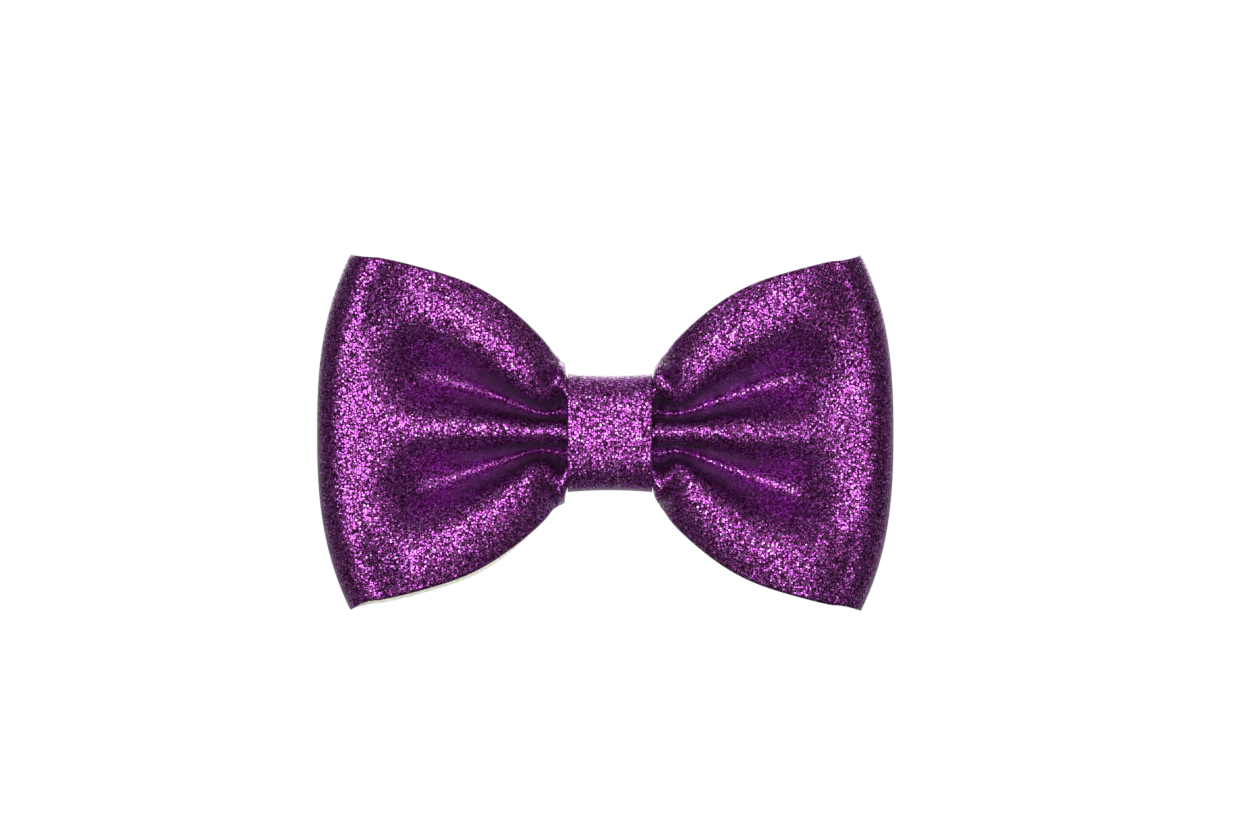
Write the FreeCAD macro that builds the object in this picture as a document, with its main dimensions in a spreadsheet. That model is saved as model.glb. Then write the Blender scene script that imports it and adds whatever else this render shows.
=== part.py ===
import FreeCAD
import Part
import Sketcher
import math
import os

# Pinched cheer hair bow of glitter faux leather on a steel alligator clip.
# Millimetres. X is the width of the bow, Z is up and the front faces -Y.
# The origin is the middle of the clip's gripping gap, on the gap plane.

V = FreeCAD.Vector
doc = FreeCAD.newDocument("hair_bow")
sheet = doc.addObject("Spreadsheet::Sheet", "Sizes")

SIZES = [
    # glitter strip
    ("StripHalfWidth", 38.0),
    ("StripThickness", 0.7),
    ("LeftReach", 55.8),
    ("RightReach", 53.8),
    ("FoldRadius", 6.0),
    ("PinchAxisY", -9.71),
    ("CrestDepth", 7.3),
    ("CrestBulge", 1.8),
    ("LayerPitch", 0.95),
    ("EndGap", 0.5),
    ("LayerShift", 0.45),
    ("PinchNarrowing", 0.05),
    ("OutlineHeight", 40.5),
    ("OutlineFall", 43.0),
    ("OutlineLength", 20.0),
    ("WaistDip", 1.6),
    ("LowerLeftDrop", 1.0),
    ("MouthBow", 7.0),
    ("ThreadBite", 0.05),
    ("BackWidening", 0.008),
    # centre band
    ("BandWidth", 17.8),
    ("BandThickness", 0.7),
    ("BandAxisY", -10.38),
    ("BandHalfDepth", 8.17),
    ("BandHalfHeight", 11.75),
    ("BandFlare", 0.4),
    ("BandSecondPass", 1.7),
    # binding thread
    ("ThreadDiameter", 0.35),
    ("ThreadPitch", 0.36),
    ("ThreadTurns", 4.0),
    ("ThreadAxisY", -10.8),
    ("ThreadHalfDepth", 7.14),
    ("ThreadHalfHeight", 10.6),
    # hot-melt bed under the clip
    ("BedLength", 16.0),
    ("BedHeight", 9.0),
    ("BedFrontY", -3.85),
    ("BedThickness", 1.15),
    ("BedGroove", 0.85),
    ("BedGrooveWidth", 3.4),
    # clip top plate
    ("PlateStartX", -25.0),
    ("PlateEndX", 25.0),
    ("PlateWidth", 8.0),
    ("PlateBackY", -1.15),
    ("PlateSheet", 0.6),
    ("EarRadius", 2.1),
    # clip toothed jaw
    ("JawWidth", 6.2),
    ("JawSheet", 0.6),
    ("JawTipX", 24.0),
    ("JawBackY", 3.5),
    ("ToothTipY", 0.15),
    ("ToothDepth", 0.9),
    ("ToothPitch", 1.8),
    ("JawEarRadius", 1.85),
    ("LeverBendX", -15.0),
    ("LeverLength", 11.0),
    ("LeverAngle", 26.0),
    # hinge
    ("PinX", -13.0),
    ("PinY", 1.0),
    ("PinDiameter", 1.5),
    ("PinHeadDiameter", 2.5),
    ("PinHeadHeight", 0.5),
    ("PinBore", 1.6),
    # torsion spring
    ("WireDiameter", 0.55),
    ("CoilRadius", 1.35),
    ("CoilTurns", 3.5),
    ("CoilPitch", 0.66),
    ("LegLength", 8.6),
    ("LegTilt", 3.0),
    ("LegStraight", 1.4),
    ("LegBend", 28.5),
    ("LegBendRadius", 1.6),
    ("LeverLegLength", 6.6),
]
for row, (alias, value) in enumerate(SIZES, start=1):
    sheet.set("A%d" % row, alias)
    sheet.set("B%d" % row, repr(value))
    sheet.setAlias("B%d" % row, alias)
doc.recompute()


def size(alias):
    """The present value of one named size."""
    return float(sheet.get(alias))


def smooth(start, end, value):
    """A soft step from 0 at start to 1 at end."""
    q = min(1.0, max(0.0, (value - start) / (end - start)))
    return q * q * (3.0 - 2.0 * q)


# ---------------------------------------------------------------- sheet goods

def surface_through(rows):
    """A smooth surface through a grid of points."""
    surface = Part.BSplineSurface()
    surface.interpolate(rows)
    return surface


def spans(surface, count):
    """The same surface cut into equal spans along its rows."""
    first, last, low, high = surface.bounds()
    marks = [first + (last - first) * k / count for k in range(count + 1)]
    pieces = []
    for start, end in zip(marks, marks[1:]):
        piece = surface.copy()
        piece.segment(start, end, low, high)
        pieces.append(piece)
    return pieces


def thick_sheet(rows, thickness, patches=1):
    """A solid of even thickness on both sides of a grid of mid-surface points."""
    last_i = len(rows) - 1
    last_j = len(rows[0]) - 1
    front = []
    back = []
    for i, row in enumerate(rows):
        front_row = []
        back_row = []
        for j, point in enumerate(row):
            along = rows[min(i + 1, last_i)][j] - rows[max(i - 1, 0)][j]
            across = row[min(j + 1, last_j)] - row[max(j - 1, 0)]
            normal = along.cross(across).normalize()
            front_row.append(point + normal * (thickness / 2.0))
            back_row.append(point - normal * (thickness / 2.0))
        front.append(front_row)
        back.append(back_row)
    upper = spans(surface_through(front), patches)
    lower = spans(surface_through(back), patches)
    faces = []
    for near, far in zip(upper, lower):
        faces += [near.toShape(), far.toShape()]
        a, b = near.bounds()[2:], far.bounds()[2:]
        rims = [(near.vIso(a[0]), far.vIso(b[0])), (near.vIso(a[1]), far.vIso(b[1]))]
        if near is upper[0]:
            rims.append((near.uIso(near.bounds()[0]), far.uIso(far.bounds()[0])))
        if near is upper[-1]:
            rims.append((near.uIso(near.bounds()[1]), far.uIso(far.bounds()[1])))
        for one, other in rims:
            faces.append(Part.makeRuledSurface(one.toShape(), other.toShape()))
    shell = Part.Shell(faces)
    shell.sewShape()
    solid = Part.Solid(Part.Shell(shell.Faces))
    if solid.Volume < 0:
        solid.reverse()
    return solid


def free_piece(label, shape):
    """A named sub-part whose free form has no sketch."""
    feature = doc.addObject("Part::Feature", label)
    feature.Label = label
    feature.Shape = shape
    feature.Placement = FreeCAD.Placement()
    return feature


# ------------------------------------------------------------- pleated strip

HALF = size("StripHalfWidth")
ACROSS = 72
ALONG = 60


def pleat_angles(x, v):
    """Tangent angle of the pleated section at x, v millimetres from its middle."""
    t = abs(x)
    out = 1.6 * math.log(1.0 + math.exp((t - 10.8) / 1.6))
    pinch = 1.0 / (1.0 + math.exp((t - 10.2) / 0.9))
    fade = 1.0 - smooth(29.0, 46.0, out)
    crest = 88.0 * max(0.0, 1.0 - (out / 42.0) ** 2.2) * fade
    lobe = 86.0 * max(0.0, 1.0 - (out / 58.0) ** 1.65) * fade
    rim = 50.0 * max(0.0, 1.0 - (out / 51.0) ** 1.5) * fade
    crest += (86.0 - crest) * pinch
    lobe += (86.0 - lobe) * pinch
    rim += (105.0 - rim) / (1.0 + math.exp((t - 12.1) / 1.2))
    opening = min(1.0, out / 40.0)
    spread = smooth(0.0, 20.4, out)
    settled = smooth(0.0, 9.0, out)
    if v >= 0.0:
        valley_at = 13.3 + 1.2 * opening
        lobe_at = 26.3 + 2.0 * settled + 0.8 * opening
    else:
        valley_at = 13.5 + 1.6 * opening
        lobe_at = 26.1 + 1.8 * settled + 0.8 * opening
    a = abs(v)
    angle = crest * math.tanh(a / (2.6 + 2.9 * spread))
    angle -= 0.5 * (crest + lobe) * (1.0 + math.tanh((a - valley_at) / (1.0 + 2.5 * opening)))
    angle += 0.5 * (lobe + rim) * (1.0 + math.tanh((a - lobe_at) / (2.7 + 3.7 * spread)))
    return math.radians(angle)


def pleat_section(x):
    """Depth, height and angle of the section at x, for every point across the strip."""
    fine = 8
    steps = ACROSS // 2
    depth = [0.0] * (ACROSS + 1)
    height = [0.0] * (ACROSS + 1)
    angle = [0.0] * (ACROSS + 1)
    for sign in (1.0, -1.0):
        e = 0.0
        z = 0.0
        h = HALF / steps / fine
        for j in range(1, steps + 1):
            for k in range(fine):
                v = HALF * (j - 1) / steps + (k + 0.5) * h
                phi = pleat_angles(x, sign * v)
                e += math.sin(phi) * h
                z += math.cos(phi) * h
            index = steps + int(sign) * j
            depth[index] = e
            height[index] = sign * z
            angle[index] = sign * pleat_angles(x, sign * HALF * j / steps)
    return depth, height, angle


def crest_line(t, reach):
    """Depth of the middle crest in front of the pinch axis."""
    q = min(1.0, t / reach)
    rise = (size("CrestDepth") - size("FoldRadius")) * smooth(0.0, 1.0, q)
    return -size("CrestDepth") + rise - size("CrestBulge") * math.sin(math.pi * q) ** 2


def outline(x):
    """Half the height of the bow's outline at a distance from its middle."""
    waist = size("WaistDip") * math.exp((size("BandWidth") / 2.0 - x) / 0.9)
    return size("OutlineHeight") - size("OutlineFall") * math.exp(-x / size("OutlineLength")) - waist


def march(rows, step):
    """Distance of every point from the pinch: what a row's slopes leave of its step."""
    xs = [[0.0] * (ACROSS + 1)]
    for i in range(1, len(rows)):
        row = []
        for j in range(ACROSS + 1):
            dy = (rows[i][j][0] - rows[i - 1][j][0]) / step
            dz = (rows[i][j][1] - rows[i - 1][j][1]) / step
            share = 2.0 * j / ACROSS - 1.0
            pull = 0.62 - 0.50 * smooth(28.0, 44.0, i * step) * share * share
            row.append(xs[-1][j] + step * math.sqrt(max(0.06, 1.0 - pull * (dy * dy + dz * dz))))
        xs.append(row)
    return xs


def half_strip(sign, reach):
    """Front rows from the pinch to the fold, rows round the fold, and back rows from the pinch."""
    radius = size("FoldRadius")
    pitch = size("LayerPitch")
    axis = size("PinchAxisY")
    step = reach / ALONG
    sections = [pleat_section(sign * i * step) for i in range(ALONG + 1)]
    rows = []
    for i, (depth, height, angle) in enumerate(sections):
        t = i * step
        lift = 0.5 * smooth(6.0, 20.0, t)
        if sign > 0:
            lift *= 1.0 - t / reach
        drawn = size("PinchNarrowing") + size("ThreadBite") * (1.0 - smooth(1.0, 6.0, t))
        crest = crest_line(t, reach)
        rows.append([(crest + depth[j], (1.0 - drawn) * (height[j] + lift)) for j in range(ACROSS + 1)])

    # the mouth opens along the bow's outline
    xs = march(rows, step)
    drop = size("LowerLeftDrop") if sign < 0 else 0.0
    for i, row in enumerate(rows):
        settled = smooth(11.0, 18.0, i * step)
        upper = 1.0 + settled * (outline(xs[i][-1]) / row[-1][1] - 1.0)
        lower = 1.0 + settled * ((outline(xs[i][0]) - drop) / -row[0][1] - 1.0)
        rows[i] = [(y, z * (upper if j > ACROSS // 2 else lower)) for j, (y, z) in enumerate(row)]
    xs = march(rows, step)
    for i, row in enumerate(xs):
        mouth = smooth(36.0, 50.0, i * step)
        middle = row[ACROSS // 2]
        for j in range(ACROSS + 1):
            bowed = middle - size("MouthBow") * abs(2.0 * j / ACROSS - 1.0) ** 2.6
            row[j] += mouth * (bowed - row[j])

    # and beside the band it starts from the band's own height
    for i, row in enumerate(rows):
        close = smooth(8.5, 10.0, i * step) * (1.0 - smooth(12.0, 18.0, i * step))
        heights = [z for y, z in row]
        top = heights.index(max(heights))
        low = heights.index(min(heights))
        upper = 1.0 + close * (outline(xs[i][top]) / heights[top] - 1.0)
        lower = 1.0 + close * (outline(xs[i][low]) / -heights[low] - 1.0)
        rows[i] = [(y, z * (upper if j > ACROSS // 2 else lower)) for j, (y, z) in enumerate(row)]

    front = []
    back = []
    for i, (depth, height, angle) in enumerate(sections):
        t = i * step
        valley = max(depth[ACROSS // 4: 3 * ACROSS // 4 + 1])
        apart = 2.0 * radius * smooth(6.0, 50.0, t)
        keep = 1.0 - 0.5 * smooth(8.0, 40.0, t)
        inset = pitch * (1.0 - smooth(12.0, 40.0, t))
        free = smooth(14.0, 34.0, t)
        shift = size("LayerShift") * free if sign < 0 else 0.0
        wider = 1.0 + size("BackWidening") * free
        front_row = []
        back_row = []
        for j in range(ACROSS + 1):
            y, z = rows[i][j]
            front_row.append(V(sign * xs[i][j], axis + y, z + shift))
            relief = (1.0 - keep) * (valley - depth[j])
            back_y = y + apart + relief + inset * math.cos(angle[j])
            back_z = wider * (z - inset * math.sin(angle[j])) - shift
            back_row.append(V(sign * xs[i][j], axis + back_y, back_z))
        front.append(front_row)
        back.append(back_row)
    fold = []
    ends = front[-1]
    back_ends = back[-1]
    turns = 10
    for k in range(1, turns):
        theta = math.pi * k / turns
        row = []
        for j in range(ACROSS + 1):
            v = HALF * (2.0 * j / ACROSS - 1.0)
            mid_y = 0.5 * (ends[j].y + back_ends[j].y)
            half_y = 0.5 * (back_ends[j].y - ends[j].y)
            z = ends[j].z + (back_ends[j].z - ends[j].z) * (1.0 - math.cos(theta)) / 2.0
            z += 0.7 * (v - z) * math.sin(theta) ** 2
            x = ends[j].x + sign * half_y * math.sin(theta)
            row.append(V(x, mid_y - half_y * math.cos(theta), z))
        fold.append(row)
    return front, fold, back


def trimmed(back_rows, gap):
    """Back rows cut short of the middle by half of the gap between the strip ends."""
    rows = [row for row in back_rows if abs(row[ACROSS // 2].x) > gap]
    first = rows[0]
    side = 1.0 if first[0].x > 0 else -1.0
    return [[V(side * gap / 2.0, p.y, p.z) for p in first]] + rows[1:]


def strip_rows():
    """Every row of the strip, from one end at the back round to the other end."""
    left = half_strip(-1.0, size("LeftReach"))
    right = half_strip(1.0, size("RightReach"))
    gap = size("EndGap")
    left_back = trimmed(left[2], gap)
    right_back = trimmed(right[2], gap)
    rows = left_back + left[1][::-1] + left[0][::-1]
    rows += right[0][1:] + right[1] + right_back[::-1]
    return rows


# ---------------------------------------------------------------- centre band

def rounded_ring(theta, half_depth, half_height, power):
    """A point of a rounded oblong ring at a true angle round its middle."""
    c = math.cos(theta)
    s = math.sin(theta)
    reach = (abs(c / half_depth) ** power + abs(s / half_height) ** power) ** (-1.0 / power)
    return reach * c, reach * s


def band_curve(theta, flare, extra):
    """Depth and height of the band's middle line at an angle round the pinch."""
    turn = math.degrees(theta)
    power = 3.2 + 0.3 * math.cos(theta)
    lap = size("BandSecondPass") * smooth(270.0, 322.0, turn)
    y, z = rounded_ring(
        theta,
        size("BandHalfDepth") + lap + extra,
        size("BandHalfHeight") + flare,
        power,
    )
    return size("BandAxisY") + y, z


def band_rows(first, last, half_width, extra):
    """Rows round the pinch between two angles in degrees."""
    rows = []
    count = int((last - first) / 5.0)
    for i in range(count + 1):
        theta = math.radians(first + (last - first) * i / count)
        row = []
        for j in range(9):
            q = j / 4.0 - 1.0
            y, z = band_curve(theta, size("BandFlare") * q * q, extra)
            row.append(V(half_width * q, y, z))
        rows.append(row)
    return rows


# ----------------------------------------------------------- wire and thread

def wound_thread():
    """The turns of thread drawn tight side by side: one ridge for each turn."""
    count = 32
    points = []
    for i in range(count):
        y, z = rounded_ring(
            2.0 * math.pi * i / count,
            size("ThreadHalfDepth"),
            size("ThreadHalfHeight"),
            3.2,
        )
        points.append(V(0, size("ThreadAxisY") + y, z))
    curve = Part.BSplineCurve()
    curve.interpolate(points, PeriodicFlag=True)
    pitch = size("ThreadPitch")
    turns = int(size("ThreadTurns"))
    half = size("ThreadDiameter") / 2.0
    x = -turns * pitch / 2.0
    y = points[0].y
    ridges = []
    for turn in range(turns):
        left = x + turn * pitch
        ridges.append(
            Part.Arc(
                V(left, y, 0), V(left + pitch / 2.0, y + half, 0), V(left + pitch, y, 0)
            ).toShape()
        )
    inside = Part.makePolygon([V(-x, y, 0), V(-x, y - half, 0), V(x, y - half, 0), V(x, y, 0)])
    sweep = Part.BRepOffsetAPI.MakePipeShell(Part.Wire([curve.toShape()]))
    sweep.setBiNormalMode(V(1, 0, 0))
    sweep.add(Part.Wire(ridges + inside.Edges), False, False)
    sweep.build()
    sweep.makeSolid()
    return sweep.shape()


def torsion_spring():
    """One wire: a leg along the plate, coils round the pin, a bent leg along the lever."""
    height = size("CoilTurns") * size("CoilPitch")
    helix = Part.makeHelix(size("CoilPitch"), height, size("CoilRadius"))
    helix.rotate(V(0, 0, 0), V(0, 0, 1), size("LegTilt") - 90.0)
    helix.translate(V(size("PinX"), size("PinY"), -height / 2.0))
    coil = helix.Edges[0]
    low = coil.valueAt(coil.FirstParameter)
    high = coil.valueAt(coil.LastParameter)
    enter = coil.tangentAt(coil.FirstParameter)
    leave = coil.tangentAt(coil.LastParameter)
    start = low - enter * size("LegLength")

    # the lever leg runs straight, turns away from the plate and follows the lever
    turn = math.radians(size("LegBend"))
    radius = size("LegBendRadius")
    away = V(0, 1, 0) - leave * leave.y
    away.normalize()
    bend = high + leave * size("LegStraight")
    middle = bend + leave * (radius * math.sin(turn / 2.0)) + away * (radius * (1.0 - math.cos(turn / 2.0)))
    bent = bend + leave * (radius * math.sin(turn)) + away * (radius * (1.0 - math.cos(turn)))
    lever = leave * math.cos(turn) + away * math.sin(turn)
    path = Part.Wire([
        Part.makeLine(start, low),
        coil,
        Part.makeLine(high, bend),
        Part.Arc(bend, middle, bent).toShape(),
        Part.makeLine(bent, bent + lever * size("LeverLegLength")),
    ])
    section = Part.makeCircle(size("WireDiameter") / 2.0, start, enter)
    return path.makePipeShell([Part.Wire([section])], True, True).Solids[0]


# ------------------------------------------------------------- sketch helpers

def new_body(label):
    body = doc.addObject("PartDesign::Body", label)
    body.Label = label
    body.Placement = FreeCAD.Placement()
    return body


def new_sketch(body, plane, name, offset=None):
    """A sketch on one of the body's own planes, moved off it by a named size."""
    sketch = body.newObject("Sketcher::SketchObject", name)
    for feature in body.Origin.OriginFeatures:
        if feature.Role == plane:
            sketch.AttachmentSupport = [(feature, "")]
    sketch.MapMode = "FlatFace"
    if offset:
        sketch.setExpression("AttachmentOffset.Base.z", offset)
    return sketch


def corner(sketch, point, x, y):
    """Hold a sketch point at two sheet-driven distances from the origin."""
    for kind, text in (("DistanceX", x), ("DistanceY", y)):
        index = sketch.addConstraint(Sketcher.Constraint(kind, -1, 1, point[0], point[1], 1.0))
        sketch.setExpression("Constraints[%d]" % index, text)


def polygon(sketch, corners):
    """A closed outline whose corners follow expressions."""
    count = len(corners)
    guess = [(math.cos(6.28 * k / count), math.sin(6.28 * k / count)) for k in range(count)]
    for k in range(count):
        a = guess[k]
        b = guess[(k + 1) % count]
        sketch.addGeometry(Part.LineSegment(V(a[0], a[1], 0), V(b[0], b[1], 0)), False)
    for k in range(count):
        joint = Sketcher.Constraint("Coincident", k, 2, (k + 1) % count, 1)
        sketch.addConstraint(joint)
    for k, (x, y) in enumerate(corners):
        corner(sketch, (k, 1), x, y)


def circle(sketch, x, y, radius):
    index = sketch.addGeometry(Part.Circle(V(1, 1, 0), V(0, 0, 1), 1.0), False)
    corner(sketch, (index, 3), x, y)
    bound = sketch.addConstraint(Sketcher.Constraint("Radius", index, 1.0))
    sketch.setExpression("Constraints[%d]" % bound, radius)


def box_outline(sketch, x0, x1, y0, y1):
    polygon(sketch, [(x0, y0), (x1, y0), (x1, y1), (x0, y1)])


def pad(body, sketch, length, name, midplane=True):
    feature = body.newObject("PartDesign::Pad", name)
    feature.Profile = sketch
    feature.Midplane = midplane
    feature.setExpression("Length", length)
    doc.recompute()
    return feature


def pocket(body, sketch, length, name):
    before = body.Shape.Volume
    feature = body.newObject("PartDesign::Pocket", name)
    feature.Profile = sketch
    feature.Midplane = True
    feature.setExpression("Length", length)
    doc.recompute()
    if not body.Shape.Volume < before - 1e-4:
        raise RuntimeError("pocket %s removed nothing" % name)
    return feature


def rounded(body, edges_of, radius, name):
    """Round the edges of the body that a test picks out."""
    base = body.Tip
    names = []
    for k, edge in enumerate(base.Shape.Edges, start=1):
        if edges_of(edge):
            names.append("Edge%d" % k)
    feature = body.newObject("PartDesign::Fillet", name)
    feature.Base = (base, names)
    feature.Radius = radius
    doc.recompute()
    return feature


# -------------------------------------------------------------------- pieces

free_piece("bow_loop", thick_sheet(strip_rows(), size("StripThickness"), patches=12))

half_band = size("BandWidth") / 2.0
free_piece("centre_band", thick_sheet(band_rows(-30.0, 399.0, half_band, 0.0), size("BandThickness")))

lap = size("BandSecondPass")
bead = band_rows(28.0, 38.0, half_band - 1.2, lap / 2.0)
free_piece("band_glue", thick_sheet(bead, lap - size("BandThickness") - 0.16))

free_piece("binding_thread", wound_thread())
free_piece("clip_spring", torsion_spring())

# hot-melt bed between the pinch and the clip, grooved where the thread passes
bed = new_body("clip_glue")
bed_face = new_sketch(bed, "XZ_Plane", "BedOutline", "-Sizes.BedFrontY")
box_outline(bed_face, "-Sizes.BedLength / 2", "Sizes.BedLength / 2", "-Sizes.BedHeight / 2", "Sizes.BedHeight / 2")
bed_pad = pad(bed, bed_face, "Sizes.BedThickness", "BedPad", midplane=False)
bed_pad.Reversed = True
doc.recompute()
rounded(bed, lambda e: abs(e.Vertexes[0].Y - e.Vertexes[-1].Y) > 0.1, 2.5, "BedCorners")
groove = new_sketch(bed, "XY_Plane", "ThreadGroove")
box_outline(
    groove,
    "-Sizes.BedGrooveWidth / 2",
    "Sizes.BedGrooveWidth / 2",
    "Sizes.BedFrontY - 1",
    "Sizes.BedFrontY + Sizes.BedGroove",
)
pocket(bed, groove, "Sizes.BedHeight + 2", "GroovePocket")

# flat plate that is glued under the bow, with two ears for the hinge pin
plate = new_body("clip_top_plate")
flat = new_sketch(plate, "XZ_Plane", "PlateOutline", "-Sizes.PlateBackY")
box_outline(flat, "Sizes.PlateStartX", "Sizes.PlateEndX", "-Sizes.PlateWidth / 2", "Sizes.PlateWidth / 2")
pad(plate, flat, "Sizes.PlateSheet", "PlatePad", midplane=False)
rounded(plate, lambda e: abs(e.Vertexes[0].Y - e.Vertexes[-1].Y) > 0.1, 2.6, "PlateCorners")
ear_root = new_sketch(plate, "XY_Plane", "EarRoot")
box_outline(
    ear_root,
    "Sizes.PinX - Sizes.EarRadius",
    "Sizes.PinX + Sizes.EarRadius",
    "Sizes.PlateBackY - Sizes.PlateSheet / 2",
    "Sizes.PinY",
)
pad(plate, ear_root, "Sizes.PlateWidth", "EarRootPad")
ear_round = new_sketch(plate, "XY_Plane", "EarRound")
circle(ear_round, "Sizes.PinX", "Sizes.PinY", "Sizes.EarRadius")
pad(plate, ear_round, "Sizes.PlateWidth", "EarRoundPad")
ear_gap = new_sketch(plate, "XY_Plane", "EarGap")
box_outline(
    ear_gap,
    "Sizes.PinX - Sizes.EarRadius - 1",
    "Sizes.PinX + Sizes.EarRadius + 1",
    "Sizes.PlateBackY",
    "Sizes.PinY + Sizes.EarRadius + 1",
)
pocket(plate, ear_gap, "Sizes.PlateWidth - 2 * Sizes.PlateSheet", "EarGapPocket")
plate_bore = new_sketch(plate, "XY_Plane", "PlateBore")
circle(plate_bore, "Sizes.PinX", "Sizes.PinY", "Sizes.PinDiameter / 2")
pocket(plate, plate_bore, "Sizes.PlateWidth + 2", "PlateBorePocket")

# channel-shaped jaw: toothed flanges, hinge ears and the thumb lever
jaw = new_body("clip_toothed_jaw")
side = new_sketch(jaw, "XY_Plane", "JawSide")
polygon(side, [
    ("Sizes.PinX", "Sizes.ToothTipY"),
    ("Sizes.JawTipX", "Sizes.ToothTipY"),
    ("Sizes.JawTipX", "Sizes.JawBackY - 1.4"),
    ("Sizes.JawTipX - 1.4", "Sizes.JawBackY"),
    ("Sizes.LeverBendX", "Sizes.JawBackY"),
    ("Sizes.LeverBendX", "Sizes.JawBackY - Sizes.JawSheet"),
    ("Sizes.PinX - 1.6", "Sizes.PinY"),
])
pad(jaw, side, "Sizes.JawWidth", "JawSidePad")
jaw_ear = new_sketch(jaw, "XY_Plane", "JawEar")
circle(jaw_ear, "Sizes.PinX", "Sizes.PinY", "Sizes.JawEarRadius")
pad(jaw, jaw_ear, "Sizes.JawWidth", "JawEarPad")
lever = new_sketch(jaw, "XY_Plane", "LeverSide")
run = "Sizes.LeverLength * cos(Sizes.LeverAngle * 1 deg)"
climb = "Sizes.LeverLength * sin(Sizes.LeverAngle * 1 deg)"
polygon(lever, [
    ("Sizes.LeverBendX + 0.6", "Sizes.JawBackY - Sizes.JawSheet"),
    ("Sizes.LeverBendX + 0.6", "Sizes.JawBackY"),
    ("Sizes.LeverBendX", "Sizes.JawBackY"),
    ("Sizes.LeverBendX - " + run, "Sizes.JawBackY + " + climb),
    ("Sizes.LeverBendX - " + run, "Sizes.JawBackY + " + climb + " - Sizes.JawSheet * 1.1"),
    ("Sizes.LeverBendX", "Sizes.JawBackY - Sizes.JawSheet"),
])
pad(jaw, lever, "Sizes.JawWidth", "LeverPad")
channel = new_sketch(jaw, "XY_Plane", "JawChannel")
box_outline(
    channel,
    "Sizes.PinX - 4",
    "Sizes.JawTipX - Sizes.JawSheet",
    "Sizes.ToothTipY - 4",
    "Sizes.JawBackY - Sizes.JawSheet",
)
pocket(jaw, channel, "Sizes.JawWidth - 2 * Sizes.JawSheet", "ChannelPocket")
jaw_bore = new_sketch(jaw, "XY_Plane", "JawBore")
circle(jaw_bore, "Sizes.PinX", "Sizes.PinY", "Sizes.PinBore / 2")
pocket(jaw, jaw_bore, "Sizes.JawWidth + 2", "JawBorePocket")
notch = new_sketch(jaw, "XY_Plane", "ToothNotch")
polygon(notch, [
    ("Sizes.JawTipX - 0.5 - Sizes.ToothPitch", "Sizes.ToothTipY - 0.2"),
    ("Sizes.JawTipX - 0.9", "Sizes.ToothTipY - 0.2"),
    ("Sizes.JawTipX - 0.5 - Sizes.ToothPitch / 2", "Sizes.ToothTipY + Sizes.ToothDepth"),
])
notch_cut = pocket(jaw, notch, "Sizes.JawWidth + 2", "NotchPocket")
teeth = jaw.newObject("PartDesign::LinearPattern", "ToothPattern")
teeth.Originals = [notch_cut]
teeth.Direction = (notch, ["H_Axis"])
teeth.Reversed = True
teeth.Occurrences = 18
teeth.setExpression("Length", "Sizes.ToothPitch * 17")
jaw.Tip = teeth
doc.recompute()

# riveted hinge pin
pin = new_body("clip_hinge_pin")
pin_half = "(Sizes.PlateWidth / 2)"
profile = new_sketch(pin, "XZ_Plane", "PinProfile", "-Sizes.PinY")
polygon(profile, [
    ("Sizes.PinX", "-%s - Sizes.PinHeadHeight" % pin_half),
    ("Sizes.PinX + Sizes.PinDiameter / 2", "-%s - Sizes.PinHeadHeight" % pin_half),
    ("Sizes.PinX + Sizes.PinHeadDiameter / 2", "-%s" % pin_half),
    ("Sizes.PinX + Sizes.PinDiameter / 2", "-%s" % pin_half),
    ("Sizes.PinX + Sizes.PinDiameter / 2", pin_half),
    ("Sizes.PinX + Sizes.PinHeadDiameter / 2", pin_half),
    ("Sizes.PinX + Sizes.PinDiameter / 2", "%s + Sizes.PinHeadHeight" % pin_half),
    ("Sizes.PinX", "%s + Sizes.PinHeadHeight" % pin_half),
])
spin = pin.newObject("PartDesign::Revolution", "PinTurn")
spin.Profile = profile
spin.ReferenceAxis = (profile, ["Edge8"])
spin.Angle = 360.0
doc.recompute()

# ------------------------------------------------------------ check and write

NODES = [
    "bow_loop",
    "centre_band",
    "band_glue",
    "binding_thread",
    "clip_glue",
    "clip_top_plate",
    "clip_toothed_jaw",
    "clip_hinge_pin",
    "clip_spring",
]

doc.recompute()
for item in doc.Objects:
    if "Invalid" in item.State or "Error" in item.State:
        raise RuntimeError("%s is in state %s" % (item.Label, item.State))

os.makedirs("parts", exist_ok=True)
for name in NODES:
    part = doc.getObject(name)
    shape = part.Shape
    if shape.isNull() or not shape.isValid() or len(shape.Solids) != 1:
        raise RuntimeError("%s is not one valid solid" % name)
    shape.exportStep("parts/%s.step" % name)
    box = shape.BoundBox
    print("%-18s vol %9.2f  x %7.2f %7.2f  y %7.2f %7.2f  z %7.2f %7.2f" % (
        name, shape.Volume, box.XMin, box.XMax, box.YMin, box.YMax, box.ZMin, box.ZMax))
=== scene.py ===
import math

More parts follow.
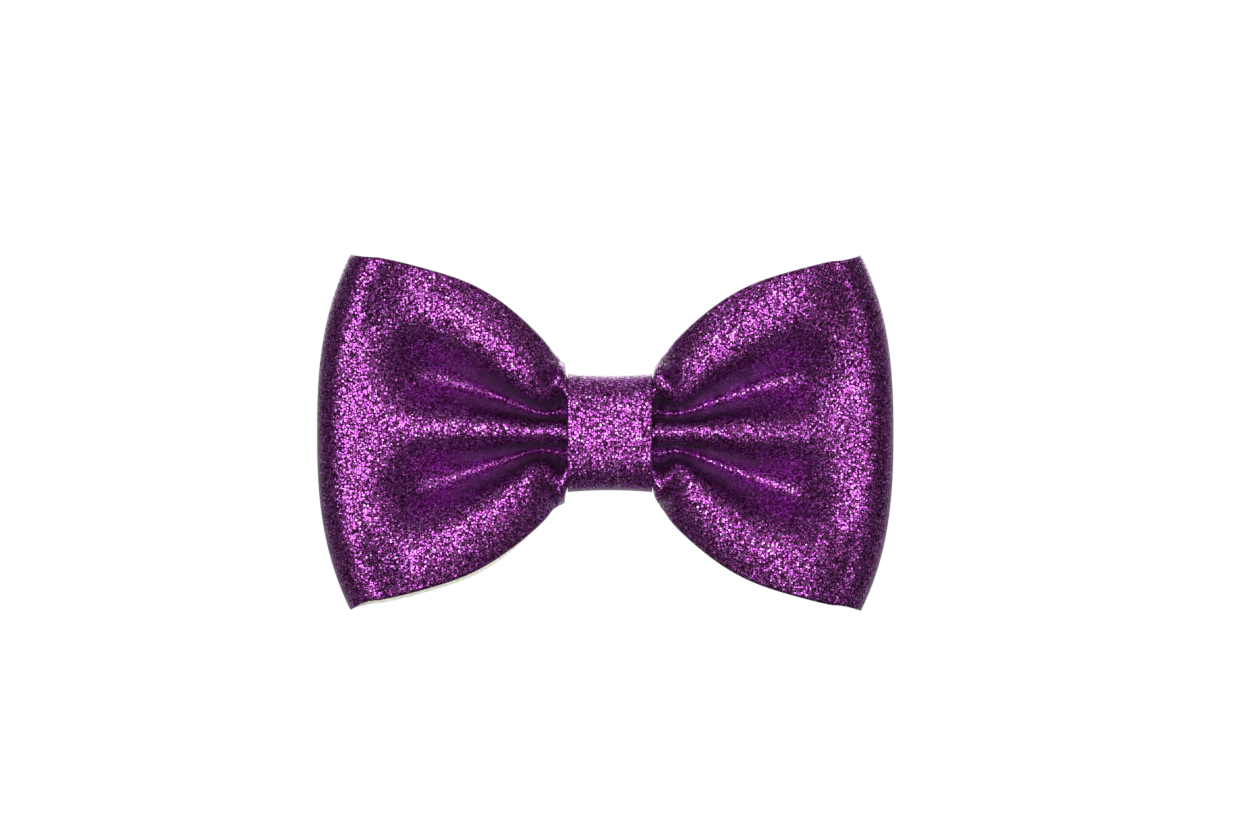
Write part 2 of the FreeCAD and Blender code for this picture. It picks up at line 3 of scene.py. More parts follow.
import bpy
import numpy as np
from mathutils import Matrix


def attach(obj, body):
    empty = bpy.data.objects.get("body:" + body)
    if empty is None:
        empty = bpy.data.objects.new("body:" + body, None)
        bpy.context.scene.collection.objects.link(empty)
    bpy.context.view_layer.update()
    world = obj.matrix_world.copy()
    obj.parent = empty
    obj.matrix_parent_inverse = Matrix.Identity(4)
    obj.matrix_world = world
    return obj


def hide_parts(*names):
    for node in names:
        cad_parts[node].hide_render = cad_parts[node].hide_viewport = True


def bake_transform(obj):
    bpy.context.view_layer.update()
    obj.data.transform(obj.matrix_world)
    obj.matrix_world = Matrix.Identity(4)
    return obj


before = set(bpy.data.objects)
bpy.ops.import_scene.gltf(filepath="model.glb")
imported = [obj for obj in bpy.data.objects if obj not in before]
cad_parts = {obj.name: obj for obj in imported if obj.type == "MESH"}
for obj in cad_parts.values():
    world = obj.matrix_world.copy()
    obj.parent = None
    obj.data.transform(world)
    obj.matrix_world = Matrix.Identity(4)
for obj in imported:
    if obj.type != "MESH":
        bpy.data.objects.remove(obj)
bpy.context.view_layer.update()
MM = 0.001

# ---------------------------------------------------------------- measures, mm

HALF = 38.0
STRIP_THICKNESS = 0.7
LEFT_REACH = 55.8
RIGHT_REACH = 53.8
FOLD_RADIUS = 6.0
PINCH_Y = -9.71
CREST_DEPTH = 7.3
CREST_BULGE = 1.8
LAYER_PITCH = 0.95
END_GAP = 0.5
LAYER_SHIFT = 0.45
PINCH_NARROWING = 0.05
LOWER_LEFT_DROP = 1.0
MOUTH_BOW = 7.0
THREAD_BITE = 0.05
OUTLINE_HEIGHT = 40.5
OUTLINE_DROP = 43.0
OUTLINE_FADE = 20.0
WAIST_DIP = 1.6
WAIST_FADE = 0.9
FRONT_LIFT = 0.5
UNEVENNESS = 0.12
FOLD_SPREAD = 0.7
BACK_WIDENING = 0.008
BAND_WIDTH = 17.8
BAND_THICKNESS = 0.7
BAND_Y = -10.38
BAND_HALF_DEPTH = 8.17
BAND_HALF_HEIGHT = 11.75
BAND_FLARE = 0.4
BAND_LAP = 1.7
PIN = (-13.0, 1.0)
WIRE_RADIUS = 0.275
COIL_RADIUS = 1.35
COIL_TURNS = 3.5
COIL_PITCH = 0.66
LEG_LENGTH = 8.6
LEG_TILT = 3.0
LEG_STRAIGHT = 1.4
LEG_BEND = 28.5
LEG_BEND_RADIUS = 1.6
LEVER_LEG_LENGTH = 6.6
COIL_POINTS = 141

# seeds of the sheet's unevenness, left (-1) and right (1)
FRONT_SEEDS = {-1.0: 4, 1.0: 9}
BACK_SEEDS = {-1.0: 14, 1.0: 19}


def smooth(start, end, value):
    q = np.clip((value - start) / (end - start), 0.0, 1.0)
    return q * q * (3.0 - 2.0 * q)


def ripple(a, b, seed):
    """A smooth, seeded unevenness made of a few slanting waves, about -1 to 1."""
    rng = np.random.default_rng(seed)
    total = np.zeros(np.broadcast(a, b).shape)
    for _ in range(7):
        angle = rng.uniform(0.0, math.pi)
        wave = rng.uniform(9.0, 26.0)
        phase = rng.uniform(0.0, 2.0 * math.pi)
        run = a * math.cos(angle) + b * math.sin(angle)
        total += np.sin(2.0 * math.pi * run / wave + phase)
    return total / 4.0


# ------------------------------------------------------------- pleated strip

def pleat_angles(x, v):
    """Tangent angle of the pleated section at x, v from its middle."""
    t = abs(x)
    out = 1.6 * math.log(1.0 + math.exp((t - 10.8) / 1.6))
    pinch = 1.0 / (1.0 + math.exp((t - 10.2) / 0.9))
    fade = 1.0 - float(smooth(29.0, 46.0, out))
    crest = 88.0 * max(0.0, 1.0 - (out / 42.0) ** 2.2) * fade
    lobe = 86.0 * max(0.0, 1.0 - (out / 58.0) ** 1.65) * fade
    rim = 50.0 * max(0.0, 1.0 - (out / 51.0) ** 1.5) * fade
    crest += (86.0 - crest) * pinch
    lobe += (86.0 - lobe) * pinch
    rim += (105.0 - rim) / (1.0 + math.exp((t - 12.1) / 1.2))
    opening = min(1.0, out / 40.0)
    spread = float(smooth(0.0, 20.4, out))
    settled = float(smooth(0.0, 9.0, out))
    valley_at = np.where(v >= 0.0, 13.3 + 1.2 * opening, 13.5 + 1.6 * opening)
    lobe_at = np.where(v >= 0.0, 26.3 + 2.0 * settled, 26.1 + 1.8 * settled) + 0.8 * opening
    a = np.abs(v)
    angle = crest * np.tanh(a / (2.6 + 2.9 * spread))
    angle -= 0.5 * (crest + lobe) * (1.0 + np.tanh((a - valley_at) / (1.0 + 2.5 * opening)))
    angle += 0.5 * (lobe + rim) * (1.0 + np.tanh((a - lobe_at) / (2.7 + 3.7 * spread)))
    return np.radians(np.sign(v) * angle)


def pleat_section(x, across):
    """Depth, height and angle of the section at x, added up in fine steps."""
    fine = 8
    step = 2.0 * HALF / (across * fine)
    mids = -HALF + (np.arange(across * fine) + 0.5) * step
    phi = pleat_angles(x, mids)
    depth = np.concatenate([[0.0], np.cumsum(np.sin(phi) * step)])[::fine]
    height = np.concatenate([[0.0], np.cumsum(np.cos(phi) * step)])[::fine]
    middle = across // 2
    angle = pleat_angles(x, np.linspace(-HALF, HALF, across + 1))
    return depth - depth[middle], height - height[middle], angle


def crest_line(t, reach):
    """Depth of the middle crest in front of the pinch axis."""
    q = min(1.0, t / reach)
    rise = (CREST_DEPTH - FOLD_RADIUS) * float(smooth(0.0, 1.0, q))
    return -CREST_DEPTH + rise - CREST_BULGE * math.sin(math.pi * q) ** 2


def outline(x):
    """Half the height of the bow's outline at a distance from its middle."""
    waist = WAIST_DIP * np.exp((BAND_WIDTH / 2.0 - x) / WAIST_FADE)
    return OUTLINE_HEIGHT - OUTLINE_DROP * np.exp(-x / OUTLINE_FADE) - waist


def march(depths, heights, times, share):
    """Distance of every point from the pinch: what a row's slopes leave of its step."""
    step = times[1] - times[0]
    dy = np.diff(depths, axis=0) / step
    dz = np.diff(heights, axis=0) / step
    pull = 0.62 - 0.50 * smooth(28.0, 44.0, times[1:])[:, None] * share[None, :] ** 2
    gain = step * np.sqrt(np.maximum(0.06, 1.0 - pull * (dy * dy + dz * dz)))
    return np.concatenate([np.zeros((1, len(share))), np.cumsum(gain, axis=0)])


def half_strip(sign, reach, across, along, turns):
    """Front rows from the pinch to the fold, the fold, and back rows, as points."""
    share = np.linspace(-1.0, 1.0, across + 1)
    v = HALF * share
    times = np.linspace(0.0, reach, along + 1)
    sections = [pleat_section(sign * t, across) for t in times]
    crests = np.array([crest_line(t, reach) for t in times])[:, None]
    depth = np.array([s[0] for s in sections])
    angle = np.array([s[2] for s in sections])
    kept_lift = 1.0 if sign < 0 else 1.0 - times / reach
    lift = FRONT_LIFT * smooth(6.0, 20.0, times) * kept_lift
    drawn = PINCH_NARROWING + THREAD_BITE * (1.0 - smooth(1.0, 6.0, times))
    z = (1.0 - drawn)[:, None] * (np.array([s[1] for s in sections]) + lift[:, None])
    y = crests + depth

    # the mouth follows the bow's outline
    xs = march(y, z, times, share)
    settled = smooth(11.0, 18.0, times)
    upper = 1.0 + settled * (outline(xs[:, -1]) / z[:, -1] - 1.0)
    drop = LOWER_LEFT_DROP if sign < 0 else 0.0
    lower = 1.0 + settled * ((outline(xs[:, 0]) - drop) / -z[:, 0] - 1.0)
    z = z * np.where(v[None, :] > 0.0, upper[:, None], lower[:, None])
    xs = march(y, z, times, share)
    mouth = smooth(36.0, 50.0, times)[:, None]
    bowed = xs[:, across // 2, None] - MOUTH_BOW * np.abs(share)[None, :] ** 2.6
    xs = xs + mouth * (bowed - xs)

    # beside the band the outer pleats start from the band's own height
    every = np.arange(along + 1)
    top, low = z.argmax(axis=1), z.argmin(axis=1)
    close = smooth(8.5, 10.0, times) * (1.0 - smooth(12.0, 18.0, times))
    outer = 0.35 + 0.65 * smooth(0.20, 0.75, np.abs(share))[None, :]
    upper = close * (outline(xs[every, top]) / z[every, top] - 1.0)
    lower = close * (outline(xs[every, low]) / -z[every, low] - 1.0)
    z = z * (1.0 + outer * np.where(v[None, :] > 0.0, upper[:, None], lower[:, None]))

    front, back = [], []
    for i, t in enumerate(times):
        valley = depth[i, across // 4: 3 * across // 4 + 1].max()
        apart = 2.0 * FOLD_RADIUS * smooth(6.0, 50.0, t)
        keep = 1.0 - 0.5 * smooth(8.0, 40.0, t)
        inset = LAYER_PITCH * (1.0 - smooth(12.0, 40.0, t))
        free = float(smooth(14.0, 34.0, t))
        shift = LAYER_SHIFT * free if sign < 0 else 0.0
        wider = 1.0 + BACK_WIDENING * free
        near_fold = float(smooth(0.7 * reach, 0.95 * reach, t))
        uneven = UNEVENNESS * free * (1.0 - near_fold)
        run = sign * t + 0.0 * v
        wave = uneven * ripple(run, v, FRONT_SEEDS[sign])
        front.append(np.stack([sign * xs[i], PINCH_Y + y[i] + wave, z[i] + shift], axis=1))
        back_y = y[i] + apart + (1.0 - keep) * (valley - depth[i]) + inset * np.cos(angle[i])
        back_z = wider * (z[i] - inset * np.sin(angle[i])) - shift
        wave = uneven * ripple(run, v, BACK_SEEDS[sign])
        back.append(np.stack([sign * xs[i], PINCH_Y + back_y + wave, back_z], axis=1))
    near, far = front[-1], back[-1]
    mid_y = 0.5 * (near[:, 1] + far[:, 1])
    half_y = 0.5 * (far[:, 1] - near[:, 1])
    fold = []
    for k in range(1, turns):
        theta = math.pi * k / turns
        z = near[:, 2] + (far[:, 2] - near[:, 2]) * (1.0 - math.cos(theta)) / 2.0
        z = z + FOLD_SPREAD * (v - z) * math.sin(theta) ** 2
        x = near[:, 0] + sign * half_y * math.sin(theta)
        fold.append(np.stack([x, mid_y - half_y * math.cos(theta), z], axis=1))
    return front, fold, back


def strip_rows(across, along, turns):
    """Every row of the strip, from one end at the back round to the other."""
    rows = []
    middle = across // 2

    def trimmed(back_rows, side):
        kept = [row for row in back_rows if abs(row[middle, 0]) > END_GAP]
        first = kept[0].copy()
        first[:, 0] = side * END_GAP / 2.0
        return [first] + kept[1:]

    left = half_strip(-1.0, LEFT_REACH, across, along, turns)
    right = half_strip(1.0, RIGHT_REACH, across, along, turns)
    rows += trimmed(left[2], -1.0) + left[1][::-1] + left[0][::-1]
    rows += right[0][1:] + right[1] + trimmed(right[2], 1.0)[::-1]
    return np.array(rows)


def band_rows(first, last, count, across):
    """Rows of the centre band round the pinch, between two angles in degrees."""
    turn = np.linspace(first, last, count + 1)[:, None]
    q = np.linspace(-1.0, 1.0, across + 1)[None, :]
    theta = np.radians(turn)
    power = 3.2 + 0.3 * np.cos(theta)
    deep = BAND_HALF_DEPTH + BAND_LAP * smooth(270.0, 322.0, turn)
    tall = BAND_HALF_HEIGHT + BAND_FLARE * q * q
    c, s = np.cos(theta), np.sin(theta)
    reach = (np.abs(c / deep) ** power + np.abs(s / tall) ** power) ** (-1.0 / power)
    x = 0.5 * BAND_WIDTH * q + 0.0 * turn
    return np.stack([x, BAND_Y + reach * c, reach * s], axis=2)


def spring_line():
    """Middle line of the torsion spring: plate leg, coils, a bend and the lever leg."""
    height = COIL_TURNS * COIL_PITCH
    wound = np.linspace(0.0, 2.0 * math.pi * COIL_TURNS, COIL_POINTS)
    turn = np.radians(LEG_TILT - 90.0) + wound
    climb = np.linspace(-height / 2.0, height / 2.0, COIL_POINTS)
    coil = np.stack([
        PIN[0] + COIL_RADIUS * np.cos(turn),
        PIN[1] + COIL_RADIUS * np.sin(turn),
        climb,
    ], axis=1)
    rise = COIL_PITCH / (2.0 * math.pi)

    def heading(angle):
        way = np.array([-COIL_RADIUS * math.sin(angle), COIL_RADIUS * math.cos(angle), rise])
        return way / np.linalg.norm(way)

    enter, leave = heading(turn[0]), heading(turn[-1])
    leg = coil[0] - enter * np.linspace(LEG_LENGTH, 0.2, 30)[:, None]
    away = np.array([0.0, 1.0, 0.0]) - leave * leave[1]
    away /= np.linalg.norm(away)
    straight = coil[-1] + leave * np.linspace(0.2, LEG_STRAIGHT, 6)[:, None]
    bend = np.radians(np.linspace(0.0, LEG_BEND, 10))[1:, None]
    arc = leave * np.sin(bend) + away * (1.0 - np.cos(bend))
    bent = straight[-1] + LEG_BEND_RADIUS * arc
    lever = leave * math.cos(bend[-1, 0]) + away * math.sin(bend[-1, 0])
    last = bent[-1] + lever * np.linspace(0.2, LEVER_LEG_LENGTH, 24)[:, None]
    return np.concatenate([leg, coil, straight, bent, last])


# ---------------------------------------------------------------------- meshes

def wire_mesh(name, line, radius, sides=16):
    """A round wire along a line, its cut ends slightly rounded."""
    way = np.gradient(line, axis=0)
    way /= np.linalg.norm(way, axis=1, keepdims=True)
    up = np.array([0.0, 0.0, 1.0])
    side = np.cross(way, up)
    side /= np.linalg.norm(side, axis=1, keepdims=True)
    over = np.cross(side, way)
    cap = radius * np.array([0.45, 0.20, 0.0])
    size = radius * np.array([0.55, 0.90, 1.0])
    middle = np.concatenate([
        line[0] - way[0] * (cap[:, None] - cap[0]),
        line[1:-1],
        (line[-1] + way[-1] * (cap[:, None] - cap[0]))[::-1],
    ])
    width = np.concatenate([size, np.full(len(line) - 2, radius), size[::-1]])
    pick = np.clip(np.arange(len(middle)) - 2, 0, len(line) - 1)
    turn = np.linspace(0.0, 2.0 * math.pi, sides, endpoint=False)[None, :, None]
    ring = np.cos(turn) * side[pick][:, None, :] + np.sin(turn) * over[pick][:, None, :]
    verts = (middle[:, None, :] + width[:, None, None] * ring).reshape(-1, 3) * MM
    faces = []
    for i in range(len(middle) - 1):
        for k in range(sides):
            a, b = i * sides + k, i * sides + (k + 1) % sides
            faces.append((b, a, a + sides, b + sides))
    faces.append(tuple(range(sides)))
    faces.append(tuple(range(len(verts) - 1, len(verts) - sides - 1, -1)))
    mesh = bpy.data.meshes.new(name)
    mesh.from_pydata(verts.tolist(), [], faces)
    mesh.polygons.foreach_set("use_smooth", np.ones(len(faces), dtype=bool))
    mesh.update()
    piece = bpy.data.objects.new(name, mesh)
    bpy.context.scene.collection.objects.link(piece)
    return piece


def thick_mesh(name, rows, thickness):
    """A closed sheet: outer face, inner face and the cut edge, as three materials."""
    along = np.gradient(rows, axis=0)
    across = np.gradient(rows, axis=1)
    normal = np.cross(along, across)
    normal /= np.linalg.norm(normal, axis=2, keepdims=True)
    outer = rows + normal * thickness / 2.0
    inner = rows - normal * thickness / 2.0
    n, m = rows.shape[:2]
    verts = np.concatenate([outer.reshape(-1, 3), inner.reshape(-1, 3)]) * MM
    index = np.arange(n * m).reshape(n, m)
    a, b = index[:-1, :-1].ravel(), index[1:, :-1].ravel()
    c, d = index[1:, 1:].ravel(), index[:-1, 1:].ravel()
    top = np.stack([a, b, c, d], axis=1)
    low = np.stack([d, c, b, a], axis=1) + n * m
    ring = np.concatenate([
        index[:, 0], index[-1, 1:], index[-2::-1, -1], index[0, -2:0:-1],
    ])
    after = np.roll(ring, -1)
    rim = np.stack([after, ring, ring + n * m, after + n * m], axis=1)
    faces = np.concatenate([top, low, rim])
    mesh = bpy.data.meshes.new(name)
    mesh.from_pydata(verts.tolist(), [], faces.tolist())
    counts = [len(top), len(low), len(rim)]
    slots = np.repeat([0, 1, 2], counts).astype(np.int32)
    mesh.polygons.foreach_set("material_index", slots)
    mesh.polygons.foreach_set("use_smooth", np.repeat([True, True, False], counts))
    mesh.update()
    piece = bpy.data.objects.new(name, mesh)
    bpy.context.scene.collection.objects.link(piece)
    return piece


# ------------------------------------------------------------------- materials

class Nodes:
    """A short way to write a node material."""

    def __init__(self, name):
        self.material = bpy.data.materials.new(name)
        self.material.use_nodes = True
        self.tree = self.material.node_tree
        self.tree.nodes.clear()
        self.out = self.tree.nodes.new("ShaderNodeOutputMaterial")

    def add(self, kind, settings=None, **inputs):
        node = self.tree.nodes.new("ShaderNode" + kind)
        for key, value in (settings or {}).items():
            setattr(node, key, value)
        for key, value in inputs.items():
            by_number = key[0] == "_"
            socket = node.inputs[int(key[1:]) if by_number else key.replace("_", " ")]
            if isinstance(value, bpy.types.NodeSocket):
                self.tree.links.new(value, socket)
            else:
                socket.default_value = value
        return node

    def math(self, operation, a, b=0.0):
        return self.add("Math", {"operation": operation}, _0=a, _1=b).outputs[0]

    def vector(self, operation, a, b=(0.0, 0.0, 0.0)):
        return self.add("VectorMath", {"operation": operation}, _0=a, _1=b).outputs[0]

    def scaled(self, a, factor):
        node = self.add("VectorMath", {"operation": "SCALE"}, _0=a)
        if isinstance(factor, bpy.types.NodeSocket):
            self.tree.links.new(factor, node.inputs["Scale"])
        else:
            node.inputs["Scale"].default_value = factor
        return node.outputs[0]

    def ramp(self, factor, stops, interpolation="LINEAR"):
        node = self.add("ValToRGB", _0=factor)
        ramp = node.color_ramp
        ramp.interpolation = interpolation
        ramp.elements[0].position, ramp.elements[0].color = stops[0]
        ramp.elements[1].position, ramp.elements[1].color = stops[-1]
        for position, color in stops[1:-1]:
            ramp.elements.new(position).color = color
        return node.outputs[0]

    def mix(self, factor, a, b, blend="MIX"):
        node = self.add("Mix", {"data_type": "RGBA", "blend_type": blend}, _0=factor, _6=a, _7=b)
        return node.outputs[2]

    def finish(self, shader):
        self.tree.links.new(shader.outputs[0], self.out.inputs["Surface"])
        return self.material


def glitter_material():
    """Purple glitter flakes lying at small angles under a clear film, whose grey reflection of
    the room at grazing angles is painted into the colour.
    """
    n = Nodes("purple_glitter")
    place = n.add("TexCoord").outputs["Object"]
    normal = n.add("NewGeometry").outputs["Normal"]

    def flakes(size_mm, spread):
        scale = 1.0 / (size_mm * MM)
        cell = n.add("TexVoronoi", {"feature": "F1"}, Vector=place, Scale=scale)
        centred = n.vector("SUBTRACT", cell.outputs["Color"], (0.5, 0.5, 0.5))
        tilt = n.scaled(centred, spread)
        parts = n.add("SeparateColor", _0=cell.outputs["Color"])
        return parts, cell.outputs["Distance"], tilt

    # round flakes lie over a bed of finer ones
    big, big_far, big_tilt = flakes(0.44, 0.44)
    fine, fine_far, fine_tilt = flakes(0.25, 0.80)
    inside = n.math("LESS_THAN", big_far, 0.46)
    present = n.math("GREATER_THAN", big.outputs[0], 0.30)
    on_flake = n.math("MULTIPLY", inside, present)
    mixed = n.add("Mix", {"data_type": "VECTOR"}, _0=on_flake, _4=fine_tilt, _5=big_tilt)
    tilt = mixed.outputs[1]
    flake_normal = n.vector("NORMALIZE", n.vector("ADD", normal, tilt))

    flake_color = n.ramp(big.outputs[1], [
        (0.00, (0.360, 0.050, 0.420, 1)),
        (0.45, (0.540, 0.110, 0.640, 1)),
        (0.85, (0.720, 0.250, 0.860, 1)),
        (1.00, (0.860, 0.440, 0.960, 1)),
    ])
    bed_color = n.ramp(fine.outputs[1], [
        (0.00, (0.070, 0.006, 0.056, 1)),
        (0.50, (0.200, 0.026, 0.178, 1)),
        (0.85, (0.380, 0.080, 0.370, 1)),
        (1.00, (0.560, 0.200, 0.580, 1)),
    ])
    gap = n.ramp(fine_far, [(0.45, (1, 1, 1, 1)), (0.70, (0.35, 0.30, 0.36, 1))])
    bed_color = n.mix(1.0, bed_color, gap, "MULTIPLY")
    color = n.mix(on_flake, bed_color, flake_color)
    # painted reflection: the colour turns grey where the surface faces away from the view,
    # standing in for the clear film reflecting the bright room at grazing angles
    turned = n.add("LayerWeight", Blend=0.5).outputs["Facing"]
    painted_reflection = n.ramp(turned, [(0.42, (0, 0, 0, 1)), (0.90, (0.60, 0.60, 0.60, 1))])
    # grey tones of the painted reflection, varying flake by flake
    grain = n.ramp(fine.outputs[2], [(0.0, (0.24, 0.17, 0.25, 1)), (1.0, (0.80, 0.68, 0.84, 1))])
    color = n.mix(painted_reflection, color, grain)
    shader = n.add(
        "BsdfPrincipled",
        Base_Color=color,
        Metallic=0.92,
        Roughness=0.30,
        Normal=flake_normal,
    )
    return n.finish(shader)


def backing_material():
    """Off-white, slightly green woven backing of the faux leather."""
    n = Nodes("woven_backing")
    place = n.add("TexCoord").outputs["Object"]
    weave = n.add("TexNoise", Vector=place, Scale=2600.0, Detail=3.0)
    patch = n.add("TexNoise", Vector=place, Scale=160.0, Detail=4.0)
    weave_part = n.math("MULTIPLY", weave.outputs[0], 0.7)
    patch_part = n.math("MULTIPLY", patch.outputs[0], 0.3)
    tone = n.math("ADD", weave_part, patch_part)
    color = n.ramp(tone, [(0.3, (0.62, 0.61, 0.52, 1)), (0.7, (0.86, 0.85, 0.77, 1))])
    bump = n.add("Bump", Strength=0.35, Distance=0.0003, Height=weave.outputs[0])
    shader = n.add(
        "BsdfPrincipled",
        Base_Color=color,
        Roughness=0.92,
        Normal=bump.outputs[0],
        Sheen_Weight=0.25,
    )
    return n.finish(shader)


def edge_material():
    """The cut edge: dark purple, purple and pale grains mixed at random."""
    n = Nodes("cut_edge")
    place = n.add("TexCoord").outputs["Object"]
    grain = n.add("TexVoronoi", {"feature": "F1"}, Vector=place, Scale=3200.0)
    parts = n.add("SeparateColor", _0=grain.outputs["Color"])
    color = n.ramp(parts.outputs[0], [
        (0.0, (0.060, 0.010, 0.090, 1)),
        (0.55, (0.220, 0.060, 0.300, 1)),
        (1.0, (0.420, 0.330, 0.420, 1)),
    ])
    bump = n.add("Bump", Strength=0.3, Distance=0.0002, Height=grain.outputs["Distance"])
    shader = n.add("BsdfPrincipled", Base_Color=color, Roughness=0.75, Normal=bump.outputs[0])
    return n.finish(shader)


def plated_steel():
    """Nickel-plated sheet steel with fine rolling lines and handling marks."""
    n = Nodes("nickel_plated_steel")
    place = n.add("TexCoord").outputs["Object"]
    stretch = n.add("Mapping", Vector=place, Scale=(120.0, 2400.0, 2400.0))
    lines = n.add("TexNoise", Vector=stretch.outputs[0], Scale=1.0, Detail=4.0)
    smudge = n.add("TexNoise", Vector=place, Scale=220.0, Detail=5.0)
    line_part = n.math("MULTIPLY", lines.outputs[0], 0.5)
    smudge_part = n.math("MULTIPLY", smudge.outputs[0], 0.5)
    tone = n.math("ADD", line_part, smudge_part)
    color = n.ramp(tone, [(0.3, (0.50, 0.49, 0.47, 1)), (0.7, (0.80, 0.79, 0.77, 1))])
    rough = n.ramp(tone, [(0.3, (0.16, 0.16, 0.16, 1)), (0.7, (0.34, 0.34, 0.34, 1))])
    bump = n.add("Bump", Strength=0.12, Distance=0.0001, Height=lines.outputs[0])
    shader = n.add(
        "BsdfPrincipled", Base_Color=color, Metallic=1.0, Roughness=rough, Normal=bump.outputs[0],
    )
    return n.finish(shader)


def spring_wire():
    """Drawn spring wire, a little darker than the plated sheet."""
    n = Nodes("spring_wire")
    place = n.add("TexCoord").outputs["Object"]
    marks = n.add("TexNoise", Vector=place, Scale=1500.0, Detail=4.0)
    color = n.ramp(marks.outputs[0], [(0.3, (0.30, 0.30, 0.31, 1)), (0.7, (0.55, 0.55, 0.56, 1))])
    bump = n.add("Bump", Strength=0.15, Distance=0.0001, Height=marks.outputs[0])
    shader = n.add(
        "BsdfPrincipled", Base_Color=color, Metallic=1.0, Roughness=0.33, Normal=bump.outputs[0],
    )
    return n.finish(shader)


def hot_melt():
    """Milky hot-melt glue with small bubbles."""
    n = Nodes("hot_melt_glue")
    place = n.add("TexCoord").outputs["Object"]
    cloud = n.add("TexNoise", Vector=place, Scale=420.0, Detail=4.0)
    color = n.ramp(cloud.outputs[0], [(0.3, (0.62, 0.59, 0.48, 1)), (0.7, (0.86, 0.84, 0.76, 1))])
    bump = n.add("Bump", Strength=0.4, Distance=0.0004, Height=cloud.outputs[0])
    shader = n.add(
        "BsdfPrincipled",
        Base_Color=color,
        Roughness=0.28,
        Normal=bump.outputs[0],
        Transmission_Weight=0.25,
    )
    return n.finish(shader)


def waxed_thread():
    """Purple waxed thread with the slant of its twist."""
    n = Nodes("waxed_thread")
    place = n.add("TexCoord").outputs["Object"]
    twist = n.add(
        "TexWave",
        {"wave_type": "BANDS", "bands_direction": "DIAGONAL"},
        Vector=place,
        Scale=1400.0,
        Distortion=1.5,
    )
    color = n.ramp(twist.outputs[0], [
        (0.2, (0.035, 0.012, 0.070, 1)),
        (0.8, (0.130, 0.045, 0.230, 1)),
    ])
    bump = n.add("Bump", Strength=0.6, Distance=0.0002, Height=twist.outputs[0])
    shader = n.add(
        "BsdfPrincipled",
        Base_Color=color,
        Roughness=0.55,
        Normal=bump.outputs[0],
        Sheen_Weight=0.2,
    )
    return n.finish(shader)


# ---------------------------------------------------------------------- pieces

glitter = glitter_material()
backing = backing_material()
edge = edge_material()

loop = thick_mesh("glitter_bow_loop", strip_rows(120, 88, 22), STRIP_THICKNESS)
band = thick_mesh("glitter_centre_band", band_rows(-30.0, 399.0, 190, 44), BAND_THICKNESS)
for piece, node in ((loop, "bow_loop"), (band, "centre_band")):
    for material in (glitter, backing, edge):
        piece.data.materials.append(material)
    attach(piece, "bow")
    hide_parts(node)

spring = wire_mesh("clip_torsion_spring", spring_line(), WIRE_RADIUS)
spring.data.materials.append(spring_wire())
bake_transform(spring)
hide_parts("clip_spring")

finishes = {
    "clip_top_plate": plated_steel(),
    "clip_glue": hot_melt(),
    "binding_thread": waxed_thread(),
}
finishes["clip_toothed_jaw"] = finishes["clip_top_plate"]
finishes["clip_hinge_pin"] = finishes["clip_top_plate"]
finishes["band_glue"] = finishes["clip_glue"]
for node, material in finishes.items():
    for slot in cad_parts[node].material_slots:
        slot.material = material

# ---------------------------------------------------------------------- studio

scene = bpy.context.scene
scene.view_settings.view_transform = "Standard"

world = bpy.data.worlds.new("studio")
scene.world = world
world.use_nodes = True
background = world.node_tree.nodes["Background"]
background.inputs["Color"].default_value = (1.0, 1.0, 1.0, 1.0)
w = world.node_tree
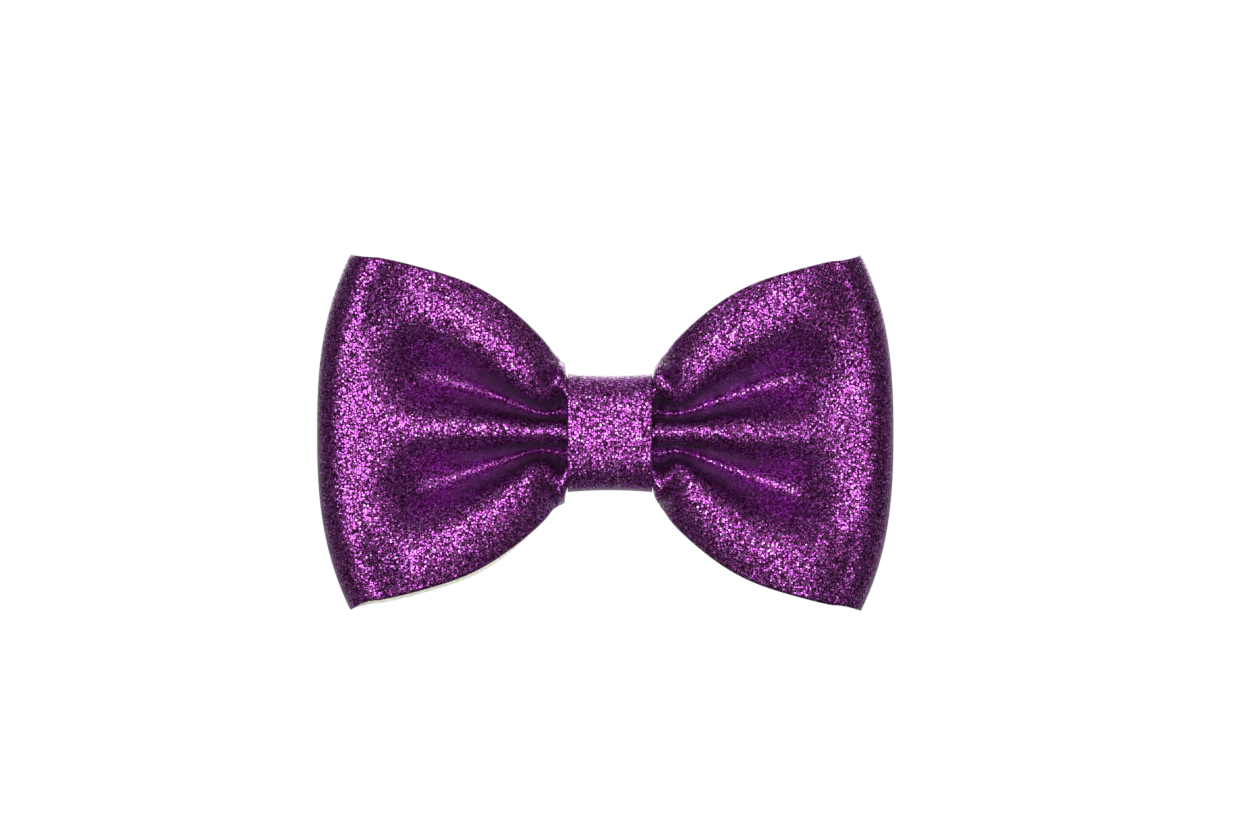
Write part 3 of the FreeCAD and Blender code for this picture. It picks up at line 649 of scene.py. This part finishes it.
# the room is darker in front of the bow than behind it; the camera sees plain white
direction = w.nodes.new("ShaderNodeSeparateXYZ")
w.links.new(w.nodes.new("ShaderNodeTexCoord").outputs["Generated"], direction.inputs[0])
sweep = w.nodes.new("ShaderNodeMapRange")
sweep.inputs["From Min"].default_value = -0.2
sweep.inputs["From Max"].default_value = 0.8
sweep.inputs["To Min"].default_value = 0.03
sweep.inputs["To Max"].default_value = 0.42
w.links.new(direction.outputs["Y"], sweep.inputs["Value"])
seen = w.nodes.new("ShaderNodeLightPath")
level = w.nodes.new("ShaderNodeMapRange")
level.inputs["To Max"].default_value = 1.0
w.links.new(sweep.outputs["Result"], level.inputs["To Min"])
w.links.new(seen.outputs["Is Camera Ray"], level.inputs["Value"])
w.links.new(level.outputs["Result"], background.inputs["Strength"])


def pale_floor():
    """A round, faintly uneven paper floor well below the bow."""
    bpy.ops.mesh.primitive_circle_add(
        vertices=96, radius=0.6, fill_type="NGON", location=(0.0, 0.0, -0.30),
    )
    floor = bpy.context.object
    floor.name = "pale_floor"
    n = Nodes("pale_paper")
    place = n.add("TexCoord").outputs["Object"]
    grain = n.add("TexNoise", Vector=place, Scale=90.0, Detail=3.0)
    color = n.ramp(grain.outputs[0], [(0.3, (0.86, 0.86, 0.86, 1)), (0.7, (0.92, 0.92, 0.92, 1))])
    shader = n.add(
        "BsdfPrincipled",
        Base_Color=color,
        Roughness=0.9,
        Emission_Color=color,
        Emission_Strength=0.8,
    )
    floor.data.materials.append(n.finish(shader))
    floor.visible_glossy = False


def softbox(name, place, size, power):
    """A soft area light aimed at the bow."""
    data = bpy.data.lights.new(name, "AREA")
    data.shape = "RECTANGLE"
    data.size, data.size_y = size
    data.energy = power
    lamp = bpy.data.objects.new(name, data)
    scene.collection.objects.link(lamp)
    lamp.location = place
    aim = -lamp.location
    lamp.rotation_euler = aim.to_track_quat("-Z", "Y").to_euler()
    return lamp


pale_floor()
softbox("key_softbox", (-0.03, -1.05, 0.10), (0.90, 0.80), 10.0)
softbox("rear_softbox", (0.0, 1.0, 0.50), (1.4, 0.8), 5.0)
softbox("top_softbox", (0.0, 0.10, 1.10), (1.2, 0.9), 2.5)

camera_data = bpy.data.cameras.new("camera")
camera_data.lens = 100.0
camera_data.sensor_width = 36.0
camera = bpy.data.objects.new("camera", camera_data)
scene.collection.objects.link(camera)
camera.location = (0.00296, -0.744, 0.0036)
camera.rotation_euler = (math.radians(90.0), 0.0, 0.0)
scene.camera = camera
